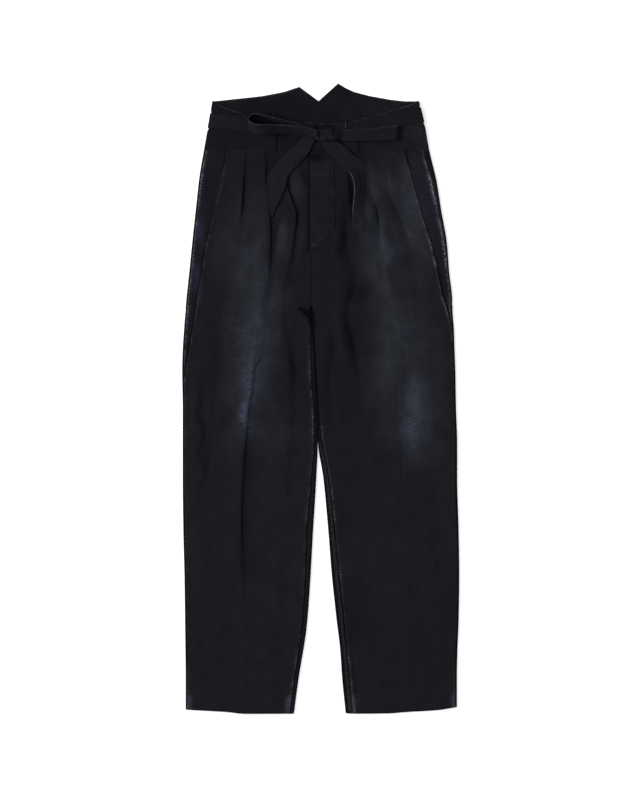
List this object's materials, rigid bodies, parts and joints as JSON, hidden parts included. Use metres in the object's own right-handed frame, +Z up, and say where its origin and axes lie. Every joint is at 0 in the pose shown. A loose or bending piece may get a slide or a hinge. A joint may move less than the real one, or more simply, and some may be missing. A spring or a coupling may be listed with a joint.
{
  "type": "hakama trousers laid flat",
  "caption": "High-waisted tapered trousers with front pleats, slanted pockets, a notched back waist and a cloth belt tied in a bow, laid flat with the front up.",
  "frame": {"origin": "the middle of the underside of the laid-out trousers, on the surface they lie on", "axes": "+X towards the wearer's left, +Y up the body from the hems to the waist, +Z up off the surface, out of the trousers' front"},
  "size_m": [0.471, 1.0714, 0.0438],
  "materials": {
    "leg_denim": "washed black twill with worn blue-grey thighs and seams",
    "back_denim": "washed black twill",
    "pocket_denim": "black twill with an indigo cast",
    "waist_denim": "matt black twill",
    "belt_cloth": "matt black doubled twill"
  },
  "bodies": {
    "root": {"front_leg_r": "leg_denim", "front_leg_l": "leg_denim", "back_leg_r": "back_denim", "back_leg_l": "back_denim", "side_panel_r": "pocket_denim", "side_panel_l": "pocket_denim", "waistband_front_r": "waist_denim", "waistband_front_l": "waist_denim", "waistband_back_r": "waist_denim", "waistband_back_l": "waist_denim", "fly_placket": "leg_denim", "belt_loop_r": "waist_denim", "belt_loop_l": "waist_denim", "belt_back": "belt_cloth", "belt_strand_r": "belt_cloth", "belt_strand_l": "belt_cloth", "knot": "belt_cloth", "bow_loop_r": "belt_cloth", "bow_loop_l": "belt_cloth", "tail_r": "belt_cloth", "tail_l": "belt_cloth"}
  },
  "joints": []
}
